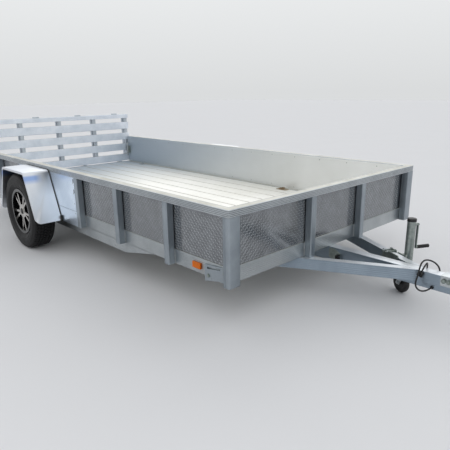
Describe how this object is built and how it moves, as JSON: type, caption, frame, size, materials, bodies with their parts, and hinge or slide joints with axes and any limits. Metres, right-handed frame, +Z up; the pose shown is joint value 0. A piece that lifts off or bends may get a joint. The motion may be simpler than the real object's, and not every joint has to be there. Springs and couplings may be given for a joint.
{
  "type": "utility trailer",
  "caption": "Open single-axle aluminium utility trailer with tread-plate sides, a bi-fold slatted rear gate, an A-frame tongue and a swivel tongue jack.",
  "frame": {"origin": "on the ground, in the middle of the trailer's whole length and width", "axes": "+X forward along the tongue, +Y to the trailer's left, +Z up"},
  "size_m": [5.628, 2.62, 1.092],
  "materials": {
    "extrusion": "mill-finish extruded aluminium",
    "tread_plate": "polished aluminium tread plate",
    "smooth_sheet": "bright smooth aluminium sheet",
    "deck": "extruded aluminium floor planks",
    "galvanised": "zinc-plated steel",
    "black_steel": "black painted steel",
    "alloy_wheel": "machined alloy with black pockets",
    "tyre": "black tyre rubber",
    "caster_rubber": "black moulded caster wheel",
    "black_plastic": "black plastic",
    "amber_lens": "amber lens",
    "red_lens": "red lens"
  },
  "bodies": {
    "chassis": {"arch_panel_left": "smooth_sheet", "arch_panel_right": "smooth_sheet", "axle_beam": "galvanised", "corner_gusset_left": "extrusion", "corner_gusset_right": "extrusion", "coupler": "galvanised", "coupler_latch": "galvanised", "crossmembers": "extrusion", "deck_planks": "deck", "fender_left": "smooth_sheet", "fender_right": "smooth_sheet", "front_panel": "tread_plate", "front_posts": "extrusion", "front_rail": "extrusion", "gate_hinge_knuckles": "extrusion", "gate_latch_left": "galvanised", "gate_latch_right": "galvanised", "harness_cord": "black_plastic", "harness_grommet": "black_plastic", "harness_plug": "black_plastic", "jack_mount": "galvanised", "marker_amber": "amber_lens", "marker_red": "red_lens", "posts_left": "extrusion", "posts_right": "extrusion", "rear_sill": "extrusion", "side_panel_left": "tread_plate", "side_panel_right": "tread_plate", "side_rail_left": "extrusion", "side_rail_right": "extrusion", "sub_rail_left": "extrusion", "sub_rail_right": "extrusion", "tail_lamps": "red_lens", "tie_downs": "galvanised", "tongue_centre": "extrusion", "tongue_leg_left": "extrusion", "tongue_leg_right": "extrusion", "top_rail_front": "extrusion", "top_rail_left": "extrusion", "top_rail_right": "extrusion", "torsion_arm_left": "galvanised", "torsion_arm_right": "galvanised"},
    "wheel_right": {"hub_right": "black_steel", "rim_right": "alloy_wheel", "tyre_right": "tyre"},
    "wheel_left": {"hub_left": "black_steel", "rim_left": "alloy_wheel", "tyre_left": "tyre"},
    "gate_lower": {"gate_lower_frame": "extrusion", "gate_lower_slats": "extrusion"},
    "gate_upper": {"gate_upper_frame": "extrusion", "gate_upper_slats": "extrusion"},
    "jack": {"jack_tube": "galvanised", "jack_crank": "galvanised"},
    "jack_leg": {"jack_leg": "galvanised"},
    "caster": {"caster_fork": "galvanised"},
    "caster_wheel": {"caster_wheel": "caster_rubber"}
  },
  "joints": [
    {"name": "wheel_right_spin", "type": "hinge", "parent": "chassis", "child": "wheel_right", "pos_m": [-0.863, -1.1975, 0.344], "axis": [0, 1, 0], "continuous": true},
    {"name": "wheel_left_spin", "type": "hinge", "parent": "chassis", "child": "wheel_left", "pos_m": [-0.863, 1.1975, 0.344], "axis": [0, 1, 0], "continuous": true},
    {"name": "gate_lower_hinge", "type": "hinge", "parent": "chassis", "child": "gate_lower", "pos_m": [-2.688, 0, 0.39], "axis": [0, -1, 0], "range_deg": [0, 104]},
    {"name": "gate_fold_hinge", "type": "hinge", "parent": "gate_lower", "child": "gate_upper", "pos_m": [-2.748, 0, 1.083], "axis": [0, 1, 0], "range_deg": [0, 180]},
    {"name": "jack_swivel", "type": "hinge", "parent": "chassis", "child": "jack", "pos_m": [2.089, 0.14774, 0.26], "axis": [0.4664, 0.8846, 0], "range_deg": [0, 90]},
    {"name": "jack_crank_slide", "type": "slide", "parent": "jack", "child": "jack_leg", "axis": [0, 0, -1], "range_m": [-0.014, 0.235]},
    {"name": "caster_swivel", "type": "hinge", "parent": "jack_leg", "child": "caster", "pos_m": [2.11931, 0.20524, 0.1613], "axis": [0, 0, 1], "continuous": true},
    {"name": "caster_spin", "type": "hinge", "parent": "caster", "child": "caster_wheel", "pos_m": [2.07686, 0.22762, 0.075], "axis": [0.4664, 0.8846, 0], "continuous": true}
  ]
}
